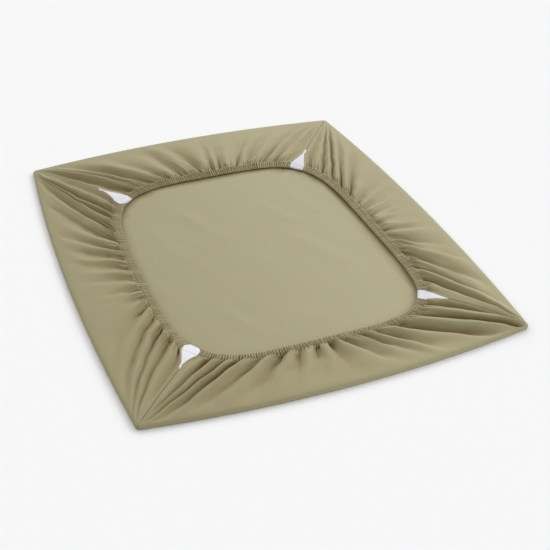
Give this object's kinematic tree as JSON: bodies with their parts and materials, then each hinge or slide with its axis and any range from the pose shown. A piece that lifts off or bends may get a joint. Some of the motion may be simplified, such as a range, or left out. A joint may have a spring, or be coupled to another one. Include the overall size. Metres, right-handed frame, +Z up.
{
  "type": "fitted sheet",
  "caption": "Elastic-hemmed fitted bed sheet lying inside out and flat, its side cloth turned in over the base panel and gathered round a wide mouth, with white stretch gussets at the corners.",
  "frame": {"origin": "centre of the bounding box in plan, at the underside of the base panel, which lies on the surface", "axes": "+X to the right along the front short edge, +Y back along the long edge, +Z up out of the mouth"},
  "size_m": [1.6946, 2.1285, 0.039],
  "materials": {
    "sheet": "matt plain-weave cotton, sage green",
    "gusset_front_left": "matt white stretch knit",
    "gusset_front_right": "matt white stretch knit",
    "gusset_back_left": "matt white stretch knit",
    "gusset_back_right": "matt white stretch knit"
  },
  "bodies": {
    "root": {"sheet": "sheet", "gusset_front_left": "gusset_front_left", "gusset_front_right": "gusset_front_right", "gusset_back_left": "gusset_back_left", "gusset_back_right": "gusset_back_right"}
  },
  "joints": []
}
